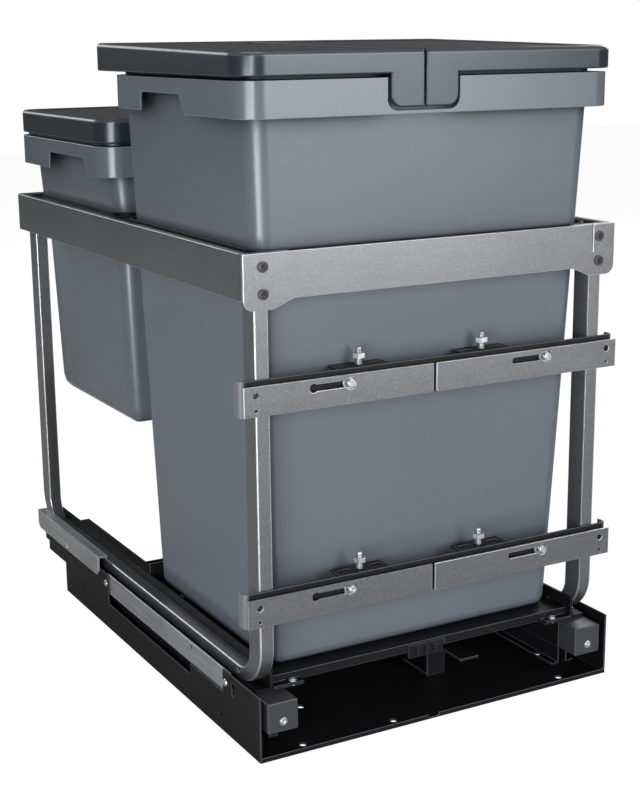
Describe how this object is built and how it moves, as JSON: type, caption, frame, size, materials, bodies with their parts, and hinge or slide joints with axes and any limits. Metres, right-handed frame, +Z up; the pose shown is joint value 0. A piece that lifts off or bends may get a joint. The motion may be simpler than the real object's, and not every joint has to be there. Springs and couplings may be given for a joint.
{
  "type": "pull out bin frame",
  "caption": "Pull-out waste bin frame for a kitchen cabinet: floor runners, a bar frame that holds a front and a rear bin, and slotted brackets for the cabinet's front panel.",
  "frame": {"origin": "underside of the base pan, mid width, below the front face of the front top rail", "axes": "+X to the right seen from the front, +Y towards the back of the cabinet, +Z up"},
  "size_m": [0.348, 0.5228, 0.5398],
  "materials": {
    "frame_metal": "satin metallic grey",
    "black_metal": "satin black",
    "rail_steel": "satin grey",
    "zinc": "bright zinc plated",
    "dark_screw": "black oxide",
    "bin_plastic": "semi-matte slate grey",
    "lid_plastic": "semi-matte dark slate grey",
    "cap_plastic": "semi-matte dark slate grey"
  },
  "bodies": {
    "base": {"base_pan": "black_metal", "left_fixed_rail": "black_metal", "right_fixed_rail": "black_metal", "left_rail_plate": "rail_steel", "right_rail_plate": "rail_steel", "left_rear_guide": "rail_steel", "right_rear_guide": "rail_steel", "pan_rivets": "zinc", "catch_tongue": "black_metal"},
    "inner_cages": {"left_inner_cage": "zinc", "right_inner_cage": "zinc"},
    "middle_rails": {"left_middle_rail": "rail_steel", "right_middle_rail": "rail_steel"},
    "outer_cages": {"left_outer_cage": "zinc", "right_outer_cage": "zinc"},
    "carriage": {"left_moving_rail": "black_metal", "right_moving_rail": "black_metal", "left_end_cap": "cap_plastic", "right_end_cap": "cap_plastic", "end_cap_screws": "zinc", "left_bed_rail": "black_metal", "right_bed_rail": "black_metal", "left_hoop": "frame_metal", "right_hoop": "frame_metal", "hoop_screws": "dark_screw", "front_crossbar": "black_metal", "rear_crossbar": "black_metal", "crossbar_screws": "zinc", "catch_unit": "cap_plastic", "front_rail": "frame_metal", "rear_rail": "frame_metal", "left_side_rail": "frame_metal", "right_side_rail": "frame_metal", "rail_screws": "dark_screw", "bin_seat_frame": "black_metal", "upper_bracket_bar": "frame_metal", "lower_bracket_bar": "frame_metal", "bracket_bolts": "zinc", "bracket_nuts": "zinc", "slot_screws": "zinc"},
    "upper_left_plate": {"upper_left_plate": "frame_metal"},
    "upper_right_plate": {"upper_right_plate": "frame_metal"},
    "lower_left_plate": {"lower_left_plate": "frame_metal"},
    "lower_right_plate": {"lower_right_plate": "frame_metal"},
    "front_bin": {"front_bin": "bin_plastic", "front_hinge_pins": "zinc"},
    "front_lid_left": {"front_lid_left": "lid_plastic"},
    "front_lid_right": {"front_lid_right": "lid_plastic"},
    "rear_bin": {"rear_bin": "bin_plastic"},
    "rear_lid": {"rear_lid": "lid_plastic"}
  },
  "joints": [
    {"name": "pull_out", "type": "slide", "parent": "base", "child": "carriage", "axis": [0, -1, 0], "range_m": [0, 0.42]},
    {"name": "outer_cage_roll", "type": "slide", "parent": "base", "child": "outer_cages", "axis": [0, -1, 0], "range_m": [0, 0.315]},
    {"name": "middle_rail_slide", "type": "slide", "parent": "base", "child": "middle_rails", "axis": [0, -1, 0], "range_m": [0, 0.21]},
    {"name": "inner_cage_roll", "type": "slide", "parent": "base", "child": "inner_cages", "axis": [0, -1, 0], "range_m": [0, 0.105]},
    {"name": "upper_left_plate_shift", "type": "slide", "parent": "carriage", "child": "upper_left_plate", "axis": [1, 0, 0], "range_m": [0, 0.012]},
    {"name": "upper_right_plate_shift", "type": "slide", "parent": "carriage", "child": "upper_right_plate", "axis": [1, 0, 0], "range_m": [0, 0.012]},
    {"name": "lower_left_plate_shift", "type": "slide", "parent": "carriage", "child": "lower_left_plate", "axis": [1, 0, 0], "range_m": [0, 0.012]},
    {"name": "lower_right_plate_shift", "type": "slide", "parent": "carriage", "child": "lower_right_plate", "axis": [1, 0, 0], "range_m": [0, 0.012]},
    {"name": "front_bin_lift", "type": "slide", "parent": "carriage", "child": "front_bin", "axis": [0, 0, 1], "range_m": [0, 0.46]},
    {"name": "front_lid_left_hinge", "type": "hinge", "parent": "front_bin", "child": "front_lid_left", "pos_m": [0, 0.265, 0.521], "axis": [-1, 0, 0], "range_deg": [0, 90]},
    {"name": "front_lid_right_hinge", "type": "hinge", "parent": "front_bin", "child": "front_lid_right", "pos_m": [0, 0.265, 0.521], "axis": [-1, 0, 0], "range_deg": [0, 90]},
    {"name": "rear_bin_lift", "type": "slide", "parent": "carriage", "child": "rear_bin", "axis": [0, 0, 1], "range_m": [0, 0.26]},
    {"name": "rear_lid_lift", "type": "slide", "parent": "rear_bin", "child": "rear_lid", "axis": [0, 0, 1], "range_m": [0, 0.15]}
  ],
  "couplings": [
    {"joint": "outer_cage_roll", "follows": "pull_out", "ratio": 0.75},
    {"joint": "middle_rail_slide", "follows": "pull_out", "ratio": 0.5},
    {"joint": "inner_cage_roll", "follows": "pull_out", "ratio": 0.25},
    {"joint": "upper_right_plate_shift", "follows": "upper_left_plate_shift", "ratio": 1},
    {"joint": "lower_left_plate_shift", "follows": "upper_left_plate_shift", "ratio": 1},
    {"joint": "lower_right_plate_shift", "follows": "upper_left_plate_shift", "ratio": 1}
  ]
}
